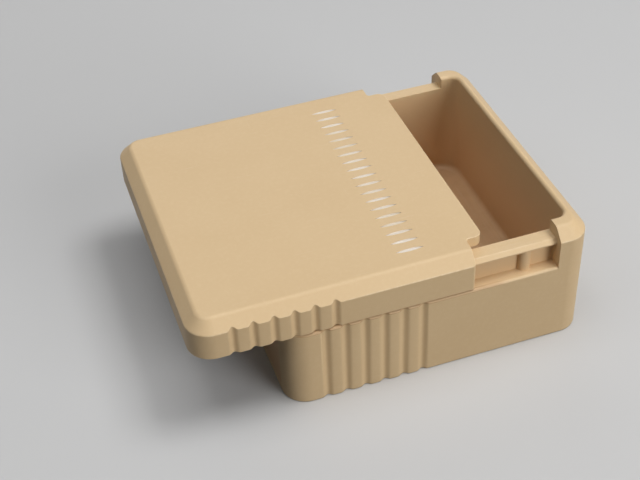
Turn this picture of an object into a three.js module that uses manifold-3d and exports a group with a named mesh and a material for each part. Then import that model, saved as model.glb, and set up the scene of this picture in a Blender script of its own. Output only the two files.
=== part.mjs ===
// Toothpick box: a deep square tray and a lid that slides along it on undercut rails.
// Millimetres, with X the slide axis and the tray's full-height end at +X, Y across and Z up.
// The origin is the middle of the tray's base.
import * as THREE from 'three';
import { mergeVertices } from 'three/addons/utils/BufferGeometryUtils.js';
import Module from 'manifold-3d';

// The closed box, tray and lid together
const boxLength = 80;
const boxWidth = 80;
const boxHeight = 33.8;
const cornerRadius = 6.2;

// The bevel round the top edge, and the radius that blends it into the top face
const bevelInset = 3.1;
const bevelDrop = 3;
const bevelBlend = 1.8;

// The tray: walls, floor, the corners of its cavity, which open out towards the floor, and its mouth
const sideWall = 6.5;
const endWall = 4.4;
const floorThickness = 2.5;
const floorFillet = 1.6;
const mouthCorner = 2.5;
const floorCorner = 6.5;
const mouthRound = 0.9;

// The ledge that the lid's skirt runs above, with its round outer edge, and the full-height end block
const ledgeHeight = 23;
const ledgeRound = 0.7;
const endBlockLength = 9;
const blockCorner = 0.5;

// The groove under the rail, the land on the rail's edge and the stop rib that stands in the groove
const grooveDepth = 3.6;
const railLand = 0.35;
const ribToBlock = 8;

// The lid: its walls, the round corner where its skirt ends, its running gap and how far it stands open
const lidPanel = 3.1;
const bevelWall = 2;
const skirtWall = 1.6;
const skirtCorner = 0.8;
const runningGap = 0.3;
const lidTravelShown = 22.1;

// The shallow round finger flutes, cut alike in the tray and in the lid's skirt
const fluteWidth = 2.4;
const fluteDepth = 0.72;
const flutePitch = 5;
const fluteInset = 10.7;
const fluteCount = 6;

// How finely curves are cut, the overrun of a cutter past what it cuts, and the least corner
const cornerSteps = 12;
const blendSteps = 6;
const fluteSteps = 40;
const ribSteps = 48;
const overrun = 1;
const leastRadius = 0.2;

// Places that follow from the sizes above
const halfLength = boxLength / 2;
const halfWidth = boxWidth / 2;
const blockFace = halfLength - endBlockLength;
const cavityHalf = halfWidth - sideWall;
const railTop = boxHeight - lidPanel - runningGap;
const railSetback = skirtWall + runningGap;
const skirtBottom = ledgeHeight + runningGap;
const skirtEnd = blockFace - runningGap;
const panelUnderside = boxHeight - lidPanel;
const ribX = blockFace - ribToBlock;
const ribRadius = grooveDepth - railSetback;
const lipFront = ribX - ribRadius - runningGap;

const manifold = await Module();
manifold.setup();

const plastic = new THREE.MeshStandardMaterial({ color: 0xd8ba90, roughness: 0.55, metalness: 0 });

// A three.js geometry as a solid that can be cut and joined.
function solid(geometry) {
  const bare = geometry.clone();
  bare.deleteAttribute('normal');
  bare.deleteAttribute('uv');
  const merged = mergeVertices(bare);
  return new manifold.Manifold(new manifold.Mesh({
    numProp: 3,
    vertProperties: new Float32Array(merged.attributes.position.array),
    triVerts: new Uint32Array(merged.index.array),
  }));
}

// A finished solid as a named mesh.
function mesh(name, shape) {
  const { numProp, vertProperties, triVerts } = shape.getMesh();
  const geometry = new THREE.BufferGeometry();
  const points = new Float32Array((vertProperties.length / numProp) * 3);
  for (let i = 0; i < points.length / 3; i += 1) {
    points.set(vertProperties.subarray(i * numProp, i * numProp + 3), i * 3);
  }
  geometry.setAttribute('position', new THREE.BufferAttribute(points, 3));
  geometry.setIndex(new THREE.BufferAttribute(new Uint32Array(triVerts), 1));
  const piece = new THREE.Mesh(geometry.toNonIndexed(), plastic);
  piece.geometry.computeVertexNormals();
  piece.name = name;
  return piece;
}

// A box between two corners.
function block(low, high) {
  const size = high.clone().sub(low);
  const geometry = new THREE.BoxGeometry(size.x, size.y, size.z);
  geometry.translate((low.x + high.x) / 2, (low.y + high.y) / 2, (low.z + high.z) / 2);
  return solid(geometry);
}

// An upright round bar.
function bar(radius, x, y, low, high, steps) {
  const geometry = new THREE.CylinderGeometry(radius, radius, high - low, steps);
  geometry.rotateX(Math.PI / 2);
  geometry.translate(x, y, (low + high) / 2);
  return solid(geometry);
}

// A flat outline raised between two heights.
function plate(shape, low, high) {
  const geometry = new THREE.ExtrudeGeometry(shape, {
    depth: high - low, bevelEnabled: false, curveSegments: cornerSteps,
  });
  geometry.translate(0, 0, low);
  return solid(geometry);
}

// The points of a rectangle with round corners, anticlockwise from its +X, -Y corner.
function roundedOutline(minX, maxX, halfY, radius) {
  const r = Math.max(radius, leastRadius);
  const centres = [[maxX - r, r - halfY], [maxX - r, halfY - r], [minX + r, halfY - r], [minX + r, r - halfY]];
  return centres.flatMap(([x, y], quarter) => Array.from({ length: cornerSteps + 1 }, (_, k) => {
    const angle = (quarter - 1 + k / cornerSteps) * (Math.PI / 2);
    return new THREE.Vector2(x + r * Math.cos(angle), y + r * Math.sin(angle));
  }));
}

// A closed solid through a stack of outlines that have equally many points, lowest first.
function loft(rings) {
  const count = rings[0].outline.length;
  const positions = rings.flatMap(({ outline, z }) => outline.flatMap((p) => [p.x, p.y, z]));
  const index = [];
  for (let ring = 0; ring < rings.length - 1; ring += 1) {
    for (let k = 0; k < count; k += 1) {
      const a = ring * count + k;
      const b = ring * count + ((k + 1) % count);
      index.push(a, b, b + count, a, b + count, a + count);
    }
  }
  const top = (rings.length - 1) * count;
  for (let k = 1; k < count - 1; k += 1) {
    index.push(0, k + 1, k, top, top + k, top + k + 1);
  }
  const geometry = new THREE.BufferGeometry();
  geometry.setAttribute('position', new THREE.Float32BufferAttribute(positions, 3));
  geometry.setIndex(index);
  return solid(geometry);
}

// The box's own outline at a height, drawn in by an inset. The open end may have an inset of its own.
function boxRing(inset, z, openInset = inset) {
  const radius = cornerRadius - inset;
  return { outline: roundedOutline(openInset - halfLength, halfLength - inset, halfWidth - inset, radius), z };
}

// The outside of the box from a height up: upright walls, the bevel and its blend into the top face.
function outside(low) {
  const slope = Math.atan2(bevelDrop, bevelInset);
  const blendInset = bevelInset + bevelBlend * Math.tan(slope / 2);
  const blend = Array.from({ length: blendSteps + 1 }, (_, k) => {
    const angle = slope * (1 - k / blendSteps);
    return boxRing(blendInset - bevelBlend * Math.sin(angle), boxHeight - bevelBlend * (1 - Math.cos(angle)));
  });
  return loft([boxRing(0, low), boxRing(0, boxHeight - bevelDrop), ...blend]);
}

// A line parallel to the bevel at a depth under it: its height at an inset, and its inset at a height.
function underBevel(depth) {
  const share = 1 + depth * Math.hypot(1 / bevelInset, 1 / bevelDrop);
  return {
    heightAt: (inset) => boxHeight - bevelDrop * (share - inset / bevelInset),
    insetAt: (height) => bevelInset * (share - (boxHeight - height) / bevelDrop),
  };
}

// Round cutters for the finger flutes on both long sides, their axes a little outside the walls.
function flutes() {
  const radius = (fluteWidth ** 2 / 4 + fluteDepth ** 2) / (2 * fluteDepth);
  const axisY = halfWidth + radius - fluteDepth;
  const cutters = [];
  for (const side of [-1, 1]) {
    for (let k = 0; k < fluteCount; k += 1) {
      const x = fluteInset + k * flutePitch - halfLength;
      cutters.push(bar(radius, x, side * axisY, -overrun, boxHeight + overrun, fluteSteps));
    }
  }
  return cutters.reduce((all, next) => all.add(next));
}

// The rails: groove walls, undersides, lands, bevels and flat tops. The open end has the same bevel but
// no groove, so the lid's lips slide out past it.
const railBevel = underBevel(bevelWall + runningGap);
const railUnderside = railBevel.heightAt(railSetback) - railLand;
function railCore() {
  return loft([
    boxRing(grooveDepth, floorThickness, railSetback),
    boxRing(grooveDepth, railUnderside, railSetback),
    boxRing(railSetback, railUnderside),
    boxRing(railSetback, railUnderside + railLand),
    boxRing(railBevel.insetAt(railTop), railTop),
  ]);
}

// The cavity: its floor fillet, its round mouth, and corners whose radius grows evenly towards the floor.
function cavity() {
  const ring = (z, drawnIn) => {
    const depthShare = Math.max(0, (boxHeight - z) / (boxHeight - floorThickness));
    const radius = mouthCorner + (floorCorner - mouthCorner) * depthShare - drawnIn;
    const minX = drawnIn - halfLength + sideWall;
    const maxX = halfLength - endWall - drawnIn;
    return { outline: roundedOutline(minX, maxX, cavityHalf - drawnIn, radius), z };
  };
  const fillet = Array.from({ length: blendSteps + 1 }, (_, k) => {
    const angle = (k / blendSteps) * (Math.PI / 2);
    return ring(floorThickness + floorFillet * (1 - Math.cos(angle)), floorFillet * (1 - Math.sin(angle)));
  });
  const mouth = Array.from({ length: blendSteps + 1 }, (_, k) => {
    const angle = (k / blendSteps) * (Math.PI / 2);
    return ring(boxHeight - mouthRound * (1 - Math.sin(angle)), mouthRound * (Math.cos(angle) - 1));
  });
  return loft([...fillet, ...mouth, ring(boxHeight + overrun, -mouthRound)]);
}

// What rounds the upright inner corner of the end block on one side, above the rail.
function blockCornerCut(side) {
  const inner = side * cavityHalf;
  const past = side * overrun;
  const centreY = side * (cavityHalf + blockCorner);
  const shape = new THREE.Shape();
  shape.moveTo(blockFace - overrun, inner - past);
  shape.lineTo(blockFace + blockCorner, inner - past);
  shape.lineTo(blockFace + blockCorner, inner);
  shape.absarc(blockFace + blockCorner, centreY, blockCorner, -side * Math.PI / 2, -side * Math.PI, side > 0);
  shape.lineTo(blockFace - overrun, centreY);
  shape.closePath();
  return plate(shape, railTop, boxHeight + overrun);
}

// The tray below the ledge, up to the ledge's round outer edge.
function lowerBody() {
  const edge = Array.from({ length: blendSteps + 1 }, (_, k) => {
    const angle = (k / blendSteps) * (Math.PI / 2);
    return boxRing(ledgeRound * (1 - Math.cos(angle)), ledgeHeight - ledgeRound * (1 - Math.sin(angle)));
  });
  return loft([boxRing(0, 0), ...edge]);
}

function trayBody() {
  const farEnd = new THREE.Vector3(halfLength + overrun, halfWidth + overrun, boxHeight + overrun);
  const endBlock = outside(0).intersect(block(new THREE.Vector3(blockFace, -halfWidth - overrun, -overrun), farEnd));
  const ribY = halfWidth - grooveDepth;
  const ribs = [-1, 1].map((side) => (
    bar(ribRadius, ribX, side * ribY, ledgeHeight - overrun, railUnderside + railLand / 2, ribSteps)
  ));
  return [endBlock, ...ribs]
    .reduce((all, next) => all.add(next), lowerBody().add(railCore()))
    .subtract(cavity())
    .subtract(blockCornerCut(-1))
    .subtract(blockCornerCut(1))
    .subtract(flutes());
}

// The tongue that carries the lid's panel on between the end blocks, with a concave root on each side.
function tongue() {
  const half = cavityHalf - runningGap;
  const end = halfLength - endWall - runningGap;
  const tip = mouthCorner - runningGap;
  const root = blockCorner + runningGap;
  const shape = new THREE.Shape();
  shape.moveTo(skirtEnd - overrun, -half - root);
  shape.lineTo(skirtEnd, -half - root);
  shape.absarc(skirtEnd + root, -half - root, root, Math.PI, Math.PI / 2, true);
  shape.absarc(end - tip, tip - half, tip, -Math.PI / 2, 0, false);
  shape.absarc(end - tip, half - tip, tip, 0, Math.PI / 2, false);
  shape.absarc(skirtEnd + root, half + root, root, -Math.PI / 2, -Math.PI, true);
  shape.lineTo(skirtEnd - overrun, half + root);
  shape.closePath();
  return plate(shape, panelUnderside, boxHeight);
}

// The room inside the lid: the rails' section with a running gap all round, open at the +X end.
function lidRoom() {
  const inner = underBevel(bevelWall);
  const lipInset = grooveDepth - runningGap;
  const lipTop = railUnderside - runningGap;
  const ring = (inset, z, openInset = inset) => {
    const radius = cornerRadius - inset;
    return { outline: roundedOutline(openInset - halfLength, halfLength + overrun, halfWidth - inset, radius), z };
  };
  const room = loft([
    ring(lipInset, skirtBottom - overrun, skirtWall),
    ring(lipInset, lipTop, skirtWall),
    ring(skirtWall, lipTop),
    ring(skirtWall, inner.heightAt(skirtWall)),
    ring(inner.insetAt(panelUnderside), panelUnderside),
  ]);
  const reach = halfWidth - skirtWall;
  const pastRib = block(
    new THREE.Vector3(lipFront, -reach, skirtBottom - overrun),
    new THREE.Vector3(halfLength + overrun, reach, inner.heightAt(skirtWall)),
  );
  return room.add(pastRib);
}

function slidingLid() {
  const outline = roundedOutline(-halfLength - overrun, skirtEnd, halfWidth, skirtCorner);
  const reach = loft([{ outline, z: skirtBottom - overrun }, { outline, z: boxHeight + overrun }]);
  return outside(skirtBottom)
    .intersect(reach)
    .add(tongue())
    .subtract(lidRoom())
    .subtract(flutes());
}

const box = new THREE.Group();
box.add(mesh('tray_body', trayBody()));
const lid = mesh('sliding_lid', slidingLid());
lid.position.x = -lidTravelShown;
box.add(lid);

export default box;
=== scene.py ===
import math

import bmesh
import bpy
import numpy as np
from mathutils import Matrix, Vector


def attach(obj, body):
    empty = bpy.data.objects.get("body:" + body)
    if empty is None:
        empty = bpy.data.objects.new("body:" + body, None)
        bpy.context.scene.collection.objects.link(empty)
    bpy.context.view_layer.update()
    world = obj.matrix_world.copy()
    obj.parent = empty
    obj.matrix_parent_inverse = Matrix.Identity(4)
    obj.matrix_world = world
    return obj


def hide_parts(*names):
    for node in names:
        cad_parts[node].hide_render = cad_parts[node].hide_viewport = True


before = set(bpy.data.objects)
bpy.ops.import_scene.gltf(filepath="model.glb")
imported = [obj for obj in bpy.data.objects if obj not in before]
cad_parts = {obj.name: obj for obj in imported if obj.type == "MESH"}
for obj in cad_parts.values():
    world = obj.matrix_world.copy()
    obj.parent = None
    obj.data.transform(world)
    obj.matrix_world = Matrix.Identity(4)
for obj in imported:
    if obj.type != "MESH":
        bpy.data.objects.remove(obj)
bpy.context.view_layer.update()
mm = 0.001
print("frame loaded")


class Value:
    # a shader socket in a Python sum: each operator adds one Math node
    def __init__(self, shading, socket):
        self.shading = shading
        self.socket = socket

    def maths(self, operation, *values):
        return self.shading.add("ShaderNodeMath", {"operation": operation}, dict(enumerate(values)))[0]

    def __add__(self, other):
        return self.maths("ADD", self, other)

    def __radd__(self, other):
        return self.maths("ADD", other, self)

    def __sub__(self, other):
        return self.maths("SUBTRACT", self, other)

    def __rsub__(self, other):
        return self.maths("SUBTRACT", other, self)

    def __mul__(self, other):
        return self.maths("MULTIPLY", self, other)

    def __rmul__(self, other):
        return self.maths("MULTIPLY", other, self)

    def __abs__(self):
        return self.maths("ABSOLUTE", self)

    def lower(self, other):
        return self.maths("MINIMUM", self, other)

    def higher(self, other):
        return self.maths("MAXIMUM", self, other)

    def smooth(self, start, end):
        # 0 at start and 1 at end with a soft step between, also where end is the smaller of the two
        return self.shading.add("ShaderNodeMapRange", {"interpolation_type": "SMOOTHSTEP"},
                                {"Value": self, "From Min": start, "From Max": end})[0]

    def swing(self, size):
        # noise as a swing about nothing, (noise - 0.5) * size
        return (self - 0.5) * size


class Shading:
    # the nodes of one material or of the world
    def __init__(self, owner):
        owner.use_nodes = True
        self.tree = owner.node_tree

    def add(self, kind, settings=None, inputs=None):
        # adds a node: its settings first, then its sockets' values or links; gives its outputs
        made = self.tree.nodes.new(kind)
        for name, setting in (settings or {}).items():
            setattr(made, name, setting)
        self.fill(made, inputs or {})
        return [Value(self, socket) for socket in made.outputs]

    def fill(self, made, inputs):
        # links an input that is a Value and sets any other
        for key, value in inputs.items():
            if isinstance(value, Value):
                self.tree.links.new(value.socket, made.inputs[key])
            else:
                made.inputs[key].default_value = value

    def finish(self, kind, inputs):
        # fills the shader that is there from the start
        self.fill(self.tree.nodes[kind], inputs)

    def mixColour(self, share, first, second):
        # first * (1 - share) + second * share, by the numbers of a Mix node's colour sockets
        return self.add("ShaderNodeMix", {"data_type": "RGBA"}, {0: share, 6: first, 7: second})[2]

    def scaled(self, vector, factors):
        # each part of the vector times its own factor
        return self.add("ShaderNodeVectorMath", {"operation": "MULTIPLY"}, {0: vector, 1: factors})[0]

    def noise(self, vector, size, detail, roughness, squeeze=None):
        # smooth noise from 0 to 1 in patches about size metres across, longer along an axis squeezed below 1
        if squeeze:
            vector = self.scaled(vector, squeeze)
        return self.add("ShaderNodeTexNoise", {"noise_dimensions": "3D"},
                        {"Vector": vector, "Scale": 1 / size, "Detail": detail, "Roughness": roughness})[0]

    def patches(self, vector, row):
        # the row's noise made crisp: 0 below its ramp and 1 above it
        return self.noise(vector, *row["noise"]).smooth(*row["ramp"])


def colour(red, green, blue):
    # an sRGB colour, 0 to 255, in linear values: v / 12.92 for the darkest, else ((v + 0.055) / 1.055) ** 2.4
    def one(v):
        v /= 255
        return v / 12.92 if v <= 0.04045 else ((v + 0.055) / 1.055) ** 2.4
    return (one(red), one(green), one(blue), 1.0)


def keep(name, data):
    # a new object with this data, linked to the scene
    made = bpy.data.objects.new(name, data)
    bpy.context.scene.collection.objects.link(made)
    return made


camera = {
    "focalPixels": 1238.16,                  # focal length in pixels of a picture 640 wide
    "imageWidth": 640,
    "sensor": 36.0,                          # mm
    "clip": (0.01, 20),                      # m
    "place": (-92.484, -238.092, 228.434),   # mm
    "turn": (-0.86117, 0.11177, 0.32854),    # from the world to the camera, a rotation vector
}


def makeCamera():
    # lens = focalPixels / imageWidth * sensor; the camera's own rotation is the given turn the other way round
    data = bpy.data.cameras.new("camera")
    data.sensor_width = camera["sensor"]
    data.lens = camera["focalPixels"] / camera["imageWidth"] * camera["sensor"]
    data.clip_start, data.clip_end = camera["clip"]
    made = keep("camera", data)
    turn = Vector(camera["turn"])
    rotation = Matrix.Rotation(turn.length, 4, turn.normalized()).transposed()
    made.matrix_world = Matrix.Translation(Vector(camera["place"]) * mm) @ rotation
    bpy.context.scene.camera = made
    print("camera ready")


stage = {
    "floorSize": 3.0,                        # m
    "paleFloor": colour(206, 206, 206),      # what the camera and reflections see
    "dimFloor": colour(78, 77, 75),          # what bounces light back on the box
    "floorRoughness": 0.95,
    "floorSpecular": 0.1,
    "aim": (0, 0, 0.015),                    # m
    "lamps": {                               # degrees right of the front and up, m away, m across, W
        "over": (75, 67, 1.35, 0.5, 6.35),
        "top": (0, 88, 1.2, 0.8, 3.6),
        "front": (30, 25, 1.2, 0.7, 5.3),
        "low": (28, 9, 1.2, 0.4, 2.75),
        "left": (-90, 60, 1.2, 0.9, 2.3),
        "back": (172, 28, 1.3, 0.9, 1.8),
    },
    "sky": 0.05,                             # strength of the light from all round
    "skyLight": colour(255, 255, 255),
    "skySeen": colour(214, 214, 214),        # what the camera and reflections see
}


def seenDirectly(shading):
    # 1 for camera, glossy and transmission rays, 0 for the rays that light the box
    path = shading.add("ShaderNodeLightPath")
    rays = {value.socket.name: value for value in path}
    return rays["Is Camera Ray"].higher(rays["Is Glossy Ray"]).higher(rays["Is Transmission Ray"])


def makeStage():
    # a lamp stands at (sin turn * cos height, -cos turn * cos height, sin height) * away and points at aim
    half = stage["floorSize"] / 2
    corners = [(-half, -half, 0), (half, -half, 0), (half, half, 0), (-half, half, 0)]
    mesh = bpy.data.meshes.new("floor")
    mesh.from_pydata(corners, [], [(0, 1, 2, 3)])
    paper = bpy.data.materials.new("floorPaper")
    shading = Shading(paper)
    shading.finish("Principled BSDF", {
        "Base Color": shading.mixColour(seenDirectly(shading), stage["dimFloor"], stage["paleFloor"]),
        "Roughness": stage["floorRoughness"],
        "Specular IOR Level": stage["floorSpecular"],
    })
    mesh.materials.append(paper)
    keep("floor", mesh)
    for name, (turn, height, away, across, watts) in stage["lamps"].items():
        turn, height = math.radians(turn), math.radians(height)
        level = math.cos(height)
        out = Vector((math.sin(turn) * level, -math.cos(turn) * level, math.sin(height)))
        data = bpy.data.lights.new(name, "AREA")
        data.shape = "SQUARE"
        data.size = across
        data.energy = watts
        lamp = keep(name, data)
        lamp.location = out * away
        lamp.rotation_mode = "QUATERNION"
        lamp.rotation_quaternion = (Vector(stage["aim"]) - lamp.location).to_track_quat("-Z", "Y")
    world = bpy.data.worlds.new("studio")
    bpy.context.scene.world = world
    shading = Shading(world)
    seen = seenDirectly(shading)
    shading.finish("Background", {
        "Color": shading.mixColour(seen, stage["skyLight"], stage["skySeen"]),
        "Strength": seen * (1 - stage["sky"]) + stage["sky"],
    })
    print("stage ready")


# in this dictionary and the next ones noise is size in m, detail, roughness and, where it is drawn out, the
# squeeze along x, y and z; ramp is where a soft step starts and ends; share is how much of a colour is mixed in
plastic = {
    "base": colour(217, 188, 145),
    "deep": colour(209, 178, 134),           # slow drift in the colour of the moulding
    "worn": colour(230, 206, 167),           # paler where edges are rubbed
    "paintedWarmShade": colour(217, 180, 137),      # painted warm shade inside the cavity and the groove, for the light bounced and shaded there
    "shadeAndGrime": colour(186, 148, 106),          # painted shade and grime low in the cavity, and a painted shadow in the gap under the lid's skirt
    "roughness": 0.5,
    # rough is a swing of the roughness, and height one of the surface in mm
    "drift": {"noise": (22 * mm, 3, 0.5), "ramp": (0.35, 0.68), "share": 0.22, "rough": 0.09, "height": 0.02},
    "mottle": {"noise": (1.1 * mm, 3, 0.6), "ramp": (0.42, 0.75), "share": 0.13, "rough": 0.06},
    "grain": {"noise": (0.32 * mm, 2, 0.6), "height": 0.0055},
    "rub": {"ramp": (0.32, 0.62), "share": 0.65, "polish": 0.1},
}


def mouldedPlastic(name, dress):
    # satin tan plastic: dress(shading, spot, place, look) adds what is special to one piece
    material = bpy.data.materials.new(name)
    shading = Shading(material)
    # spot is the Object coordinates in m, and place their three parts in mm
    spot = shading.add("ShaderNodeTexCoord")[3]
    place = shading.add("ShaderNodeSeparateXYZ", None, {0: shading.scaled(spot, (1 / mm,) * 3)})
    edge = shading.add("ShaderNodeAttribute", {"attribute_name": "edgeWear"})[2]
    drift, mottle, grain, rub = (plastic[row] for row in ("drift", "mottle", "grain", "rub"))
    slow = shading.noise(spot, *drift["noise"])
    fine = shading.noise(spot, *mottle["noise"])
    grainy = shading.noise(spot, *grain["noise"])
    rubbed = edge * fine.smooth(*rub["ramp"])
    tone = shading.mixColour(slow.smooth(*drift["ramp"]) * drift["share"], plastic["base"], plastic["deep"])
    tone = shading.mixColour(fine.smooth(*mottle["ramp"]) * mottle["share"], tone, plastic["worn"])
    tone = shading.mixColour(rubbed * rub["share"], tone, plastic["worn"])
    rough = plastic["roughness"] + slow.swing(drift["rough"]) + fine.swing(mottle["rough"])
    look = {
        "tone": tone,
        "rough": rough - rubbed * rub["polish"],
        "height": grainy.swing(grain["height"]) + slow.swing(drift["height"]),
    }
    look = dress(shading, spot, place, look)
    bump = shading.add("ShaderNodeBump", None, {"Strength": 1.0, "Distance": mm, "Height": look["height"]})
    shading.finish("Principled BSDF", {
        "Base Color": look["tone"],
        "Roughness": look["rough"],
        "Normal": bump[0],
    })
    return material


def region(place, steps):
    # 1 inside a region and 0 outside it: the product of its soft steps along x, |y| or z
    x, y, z = place
    along = {"x": x, "y": abs(y), "z": z}
    return math.prod(along[axis].smooth(start, end) for axis, start, end in steps)


def layOn(shading, look, amount, row, tint):
    # mixes in the tint by amount * share, and takes amount * polish off the roughness and amount * depth mm
    # off the height
    return {
        "tone": shading.mixColour(amount * row["share"], look["tone"], tint),
        "rough": look["rough"] - amount * row["polish"],
        "height": look["height"] - amount * row["depth"],
    }


trayDress = {
    # each region as its soft steps in mm, from where it is 0 to where it is 1
    "rails": (("y", 33.4, 33.9), ("z", 30.1, 30.35), ("z", 30.7, 30.45)),
    "ledge": (("y", 33.4, 33.9), ("z", 22.8, 23.0), ("z", 23.3, 23.05)),
    # the cavity, its share growing from the top down to 12 mm: this sets how deep the painted warm shade is
    "cavity": (("x", 36.2, 35.5), ("y", 33.9, 33.5), ("z", 2.0, 2.4), ("z", 33.7, 12.0)),
    "lowPart": (("z", 9.0, 2.8),),
    "floor": (("z", 2.0, 2.4), ("z", 3.4, 2.6)),
    "groove": (("x", 30.95, 30.75), ("y", 39.9, 38.0), ("z", 22.9, 23.1), ("z", 29.6, 29.1)),
    # the gap: where the painted shadow of the lid's skirt lies on the ledge's round edge
    "gap": (("x", 18.0, 14.0), ("y", 38.9, 39.3), ("z", 22.25, 22.45), ("z", 23.1, 23.0)),
    "warmShadeInGroove": 0.5,
    # patches of painted shade and grime in the cavity, and how strong the painted shadow in the gap is
    "shadeAndGrime": {"noise": (7 * mm, 4, 0.6), "ramp": (0.3, 0.7), "inCavity": 0.3, "inGap": 0.6},
    "trackColour": colour(228, 205, 172),
    "track": {"noise": (0.5 * mm, 3, 0.6, (0.04, 1, 1)), "ramp": (0.42, 0.62), "onRails": 0.4, "onLedge": 0.6,
              "share": 0.3, "polish": 0.14, "depth": 0.008},
    "across": {"noise": (0.7 * mm, 3, 0.6, (1, 0.05, 1)), "ramp": (0.5, 0.7),
               "share": 0.12, "polish": 0.05, "depth": 0.006},
}


def trayWearAndShade(shading, spot, place, look):
    # painted warm shade in the cavity and the groove, deeper down the cavity, painted shade and grime in
    # patches low in the cavity, a painted shadow in the gap under the lid's skirt, rub tracks along the rails
    # and the ledge, and fine crosswise marks of toothpicks on the cavity's floor
    names = ("rails", "ledge", "cavity", "lowPart", "floor", "groove", "gap")
    rails, ledge, cavity, lowPart, floor, groove, gap = (region(place, trayDress[name]) for name in names)
    shadeAndGrime, track, across = (trayDress[row] for row in ("shadeAndGrime", "track", "across"))
    # painted shade: a warmer, darker tone in the cavity, growing downwards, and half as much in the groove
    warmShadeMask = cavity.higher(groove * trayDress["warmShadeInGroove"])
    # painted shade and grime, in patches, low in the cavity
    lowShadeAndGrime = cavity * lowPart * shading.patches(spot, shadeAndGrime) * shadeAndGrime["inCavity"]
    slid = (rails * track["onRails"] + ledge * track["onLedge"]) * shading.patches(spot, track)
    scratched = floor * shading.patches(spot, across)
    look["tone"] = shading.mixColour(warmShadeMask, look["tone"], plastic["paintedWarmShade"])
    # the low patches and the skirt's painted shadow along the gap, in the shade-and-grime colour
    look["tone"] = shading.mixColour(lowShadeAndGrime.higher(gap * shadeAndGrime["inGap"]), look["tone"], plastic["shadeAndGrime"])
    look = layOn(shading, look, slid, track, trayDress["trackColour"])
    return layOn(shading, look, scratched, across, trayDress["trackColour"])


lidMarks = {
    "count": 19,                             # small toothpicks engraved in a row across the lid
    "pitch": 3.45,                           # mm from one to the next
    "middle": (-5.35, -0.75),                # mm, with the lid as far open as the record has it at rest
    "halfLength": 3.65,
    "halfWidth": 0.5,
    "taper": 2.6,                            # the greater, the blunter their points
    "depth": 0.3,
    "foot": 0.8,                             # their width at the foot, as a share
    "steps": 14,                             # along each side
    "top": 33.8,
    "over": 1.0,                             # how far their cutters stand over the top
}


def markCutters():
    # upright bodies with a toothpick's outline, y = halfWidth * (1 - |t| ** taper) at x = halfLength * t, where
    # t runs from -1 to 1 on one side and back on the other, drawn in by the share foot at the lowest ring
    steps, count = lidMarks["steps"], lidMarks["count"]
    around = 2 * steps
    t = np.concatenate([np.linspace(-1, 1, steps + 1), np.linspace(1, -1, steps + 1)[1:-1]])
    side = np.where(np.arange(around) <= steps, -1.0, 1.0)
    width = lidMarks["halfWidth"] * side * (1 - np.abs(t) ** lidMarks["taper"])
    share = np.array([lidMarks["foot"], 1, 1])
    height = lidMarks["top"] + np.array([-lidMarks["depth"], 0, lidMarks["over"]])
    midX, midY = lidMarks["middle"]
    rows = midY + (np.arange(count) - (count - 1) / 2) * lidMarks["pitch"]
    points = np.zeros((count, len(height), around, 3))
    points[..., 0] = midX + lidMarks["halfLength"] * t
    points[..., 1] = rows[:, None, None] + share[:, None] * width
    points[..., 2] = height[:, None]
    ring = np.arange(around)
    after = (ring + 1) % around
    wall = np.stack([ring, after, after + around, ring + around], 1)
    faces = []
    for first in np.arange(count) * len(height) * around:
        faces += (wall + first).tolist() + (wall + first + around).tolist()
        faces += [(ring[::-1] + first).tolist(), (ring + first + 2 * around).tolist()]
    mesh = bpy.data.meshes.new("markCutters")
    mesh.from_pydata((points.reshape(-1, 3) * mm).tolist(), [], faces)
    return keep("markCutters", mesh)


def engrave(piece):
    # the piece less the cutters
    cutters = markCutters()
    cut = piece.modifiers.new("marks", "BOOLEAN")
    cut.operation = "DIFFERENCE"
    cut.solver = "EXACT"
    cut.object = cutters
    applyModifiers(piece)
    bpy.data.objects.remove(cutters)
    print(piece.name, "engraved")


lidDress = {
    # regions as in trayDress: the inside of the marks, and the top face
    "marks": (("x", -9.55, -9.35), ("x", -1.15, -1.35), ("y", 33.6, 33.4),
              ("z", 33.3, 33.4), ("z", 33.785, 33.75)),
    "face": (("z", 33.3, 33.7),),
    "fill": colour(232, 223, 212),
    "fillWorn": colour(226, 214, 197),
    "filling": {"share": 1.0, "polish": -0.15, "depth": 0.0},
    "scuffColour": colour(226, 203, 170),
    "scuff": {"share": 0.34, "polish": -0.1, "depth": 0.009},
    "hair": {"noise": (0.5 * mm, 2, 0.5, (0.05, 1.6, 1)), "ramp": (0.62, 0.74)},
    "cross": {"noise": (0.6 * mm, 2, 0.5, (1.3, 0.07, 1)), "ramp": (0.66, 0.78), "weight": 0.7},
    "handled": {"noise": (16 * mm, 2, 0.5), "ramp": (0.45, 0.7)},
}


def lidFace(shading, spot, place, look):
    # faint scuffs of the top face where it is handled, hair + cross * weight and at most 1, and the pale
    # filling of the marks
    hair, cross, handled = (shading.patches(spot, lidDress[row]) for row in ("hair", "cross", "handled"))
    scuffs = (hair + cross * lidDress["cross"]["weight"]).lower(1.0) * handled * region(place, lidDress["face"])
    look = layOn(shading, look, scuffs, lidDress["scuff"], lidDress["scuffColour"])
    filling = shading.mixColour(handled, lidDress["fill"], lidDress["fillWorn"])
    return layOn(shading, look, region(place, lidDress["marks"]), lidDress["filling"], filling)


merging = {
    "near": 0.001 * mm,                      # points this near become one
    "flat": math.radians(0.4),               # and faces that meet at less than this
}


def mergedCopy(nodeName, pieceName):
    # the CAD solid as one closed mesh of flat faces, its triangles' shared edges dissolved
    work = bmesh.new()
    work.from_mesh(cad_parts[nodeName].data)
    bmesh.ops.remove_doubles(work, verts=work.verts, dist=merging["near"])
    bmesh.ops.dissolve_limit(work, angle_limit=merging["flat"], verts=work.verts, edges=work.edges)
    mesh = bpy.data.meshes.new(pieceName)
    work.to_mesh(mesh)
    work.free()
    mesh.materials.clear()
    return keep(pieceName, mesh)


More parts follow.
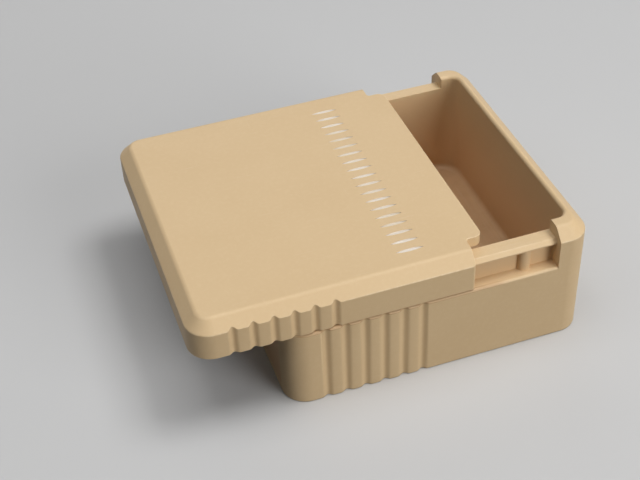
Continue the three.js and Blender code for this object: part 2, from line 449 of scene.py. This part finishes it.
flutes = {
    "side": 40.0,                            # mm; |y| of the walls that the finger flutes are cut in
    "first": -29.3,                          # x of the first one's middle in the tray
    "pitch": 5.0,
    "count": 6,
    "halfWidth": 1.2,
    "depth": 0.72,
    "slack": (0.02, 0.03, 0.01),             # how far a point may lie off a flute's width, its arc and the wall
    # the piece's shift at rest, half the flutes' width once their edges are soft, and how far they then lie
    # from the cut ones, as the photograph shows them
    "tray_moulding": (0.0, 1.6, -0.5),
    "lid_moulding": (-22.1, 1.4, -0.6),
}


def softenFlutes(piece):
    # a flute is cut as a circle's arc, depth(u) = sqrt(r * r - u * u) - (r - depth); each point of it slides
    # along x to where a wider cosine hollow, depth * (1 + cos(pi * u / softHalf)) / 2, is as deep
    mesh = piece.data
    points = np.zeros(len(mesh.vertices) * 3)
    mesh.vertices.foreach_get("co", points)
    points = points.reshape(-1, 3) / mm
    depth, half = flutes["depth"], flutes["halfWidth"]
    widthSlack, arcSlack, wallSlack = flutes["slack"]
    radius = (half ** 2 + depth ** 2) / (2 * depth)
    shift, softHalf, softShift = flutes[piece.name]
    first = flutes["first"] + shift
    nearest = np.clip(np.round((points[:, 0] - first) / flutes["pitch"]), 0, flutes["count"] - 1)
    middle = first + nearest * flutes["pitch"]
    u = points[:, 0] - middle
    own = flutes["side"] - np.abs(points[:, 1])
    arc = np.sqrt(np.maximum(radius ** 2 - u ** 2, 0)) - (radius - depth)
    onArc = (np.abs(u) < half + widthSlack) & (np.abs(arc - own) < arcSlack) & (own > -wallSlack)
    soft = softHalf * np.arccos(np.clip(2 * own / depth - 1, -1, 1)) / np.pi
    points[onArc, 0] = (middle + softShift + np.sign(u) * soft)[onArc]
    mesh.vertices.foreach_set("co", (points * mm).ravel())
    mesh.update()
    print(piece.name, int(onArc.sum()), "points of the flutes softened")


def applyModifiers(piece):
    # the mesh that the modifiers make takes the place of the piece's own
    bpy.context.view_layer.update()
    graph = bpy.context.evaluated_depsgraph_get()
    shaped = piece.evaluated_get(graph)
    mesh = bpy.data.meshes.new_from_object(shaped, preserve_all_data_layers=True, depsgraph=graph)
    piece.modifiers.clear()
    piece.data = mesh
    mesh.name = piece.name


edges = {
    "steps": 3,
    "widest": 1.0,                           # mm; each edge's radius is a share of this
    "sharp": math.radians(28),
    "plain": 0.25,
    # lowest and highest x, |y| and z in mm of the edges' middles, and their radius; the first that fits holds
    "tray_moulding": (
        ((-41, 41), (-1, 41), (-0.1, 0.1), 0.4),
        ((-31, -2), (39.2, 41), (22.2, 23.1), 0),
        ((-41, 31), (-1, 41), (29.0, 29.2), 0),
        ((-41, 30.9), (-1, 40), (29.2, 29.6), 0.12),
        ((30.9, 31.6), (33.2, 41), (22, 34), 0.05),
    ),
    "lid_moulding": (
        ((-9.2, -1.5), (-1, 33.4), (33.4, 33.9), 0),
        ((-54.1, -24), (39.2, 41), (23.4, 33), 0.1),
        ((-70, 30), (-1, 40), (28.2, 29.2), 0.08),
        ((-70, 30), (-1, 41), (23.2, 23.4), 0.2),
    ),
}


def roundEdges(piece):
    # weighs each sharp convex edge by radius / widest and lets one Bevel round them all
    piece.data.shade_smooth()
    work = bmesh.new()
    work.from_mesh(piece.data)
    weight = work.edges.layers.float.new("bevel_weight_edge")
    for edge in work.edges:
        if edge.calc_face_angle() < edges["sharp"]:
            continue
        edge.smooth = False
        if not edge.is_convex:
            continue
        x, y, z = (edge.verts[0].co + edge.verts[1].co) / 2 / mm
        radius = edges["plain"]
        for xs, ys, zs, own in edges[piece.name]:
            if xs[0] <= x <= xs[1] and ys[0] <= abs(y) <= ys[1] and zs[0] <= z <= zs[1]:
                radius = own
                break
        edge[weight] = radius / edges["widest"]
        edge.smooth = radius > 0
    work.to_mesh(piece.data)
    work.free()
    bevel = piece.modifiers.new("roundedEdges", "BEVEL")
    bevel.width = edges["widest"] * mm
    bevel.segments = edges["steps"]
    bevel.limit_method = "WEIGHT"
    bevel.use_clamp_overlap = False
    bevel.material = 1                       # marks the rounded faces, until their wear is noted
    weighted = piece.modifiers.new("flatNormals", "WEIGHTED_NORMAL")
    weighted.keep_sharp = True
    piece.data.materials.append(None)
    piece.data.materials.append(None)
    applyModifiers(piece)
    noteWear(piece.data)
    print(piece.name, len(piece.data.polygons), "faces with its rounded edges")


def noteWear(mesh):
    # edgeWear is 1 at the points that lie on rounded faces alone, and 0 at all others
    rounded = np.zeros(len(mesh.polygons), dtype=np.int32)
    sides = np.zeros(len(mesh.polygons), dtype=np.int32)
    corners = np.zeros(len(mesh.loops), dtype=np.int32)
    mesh.polygons.foreach_get("material_index", rounded)
    mesh.polygons.foreach_get("loop_total", sides)
    mesh.loops.foreach_get("vertex_index", corners)
    plainTouches = np.bincount(corners, np.repeat(1 - rounded, sides), len(mesh.vertices))
    wear = mesh.attributes.new("edgeWear", "FLOAT", "POINT")
    wear.data.foreach_set("value", (plainTouches == 0).astype(np.float32))
    mesh.polygons.foreach_set("material_index", np.zeros(len(mesh.polygons), dtype=np.int32))
    mesh.materials.clear()


makeCamera()
makeStage()
for cadNode, body, pieceName, slotName, material in (
    ("tray_body", "tray", "tray_moulding", "tray_plastic", mouldedPlastic("trayPlastic", trayWearAndShade)),
    ("sliding_lid", "lid", "lid_moulding", "lid_plastic", mouldedPlastic("lidPlastic", lidFace)),
):
    piece = mergedCopy(cadNode, pieceName)
    softenFlutes(piece)
    if pieceName == "lid_moulding":
        engrave(piece)
    roundEdges(piece)
    piece.data.materials.append(material)
    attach(piece, body)
    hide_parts(cadNode)

bpy.context.scene.view_settings.view_transform = "Standard"
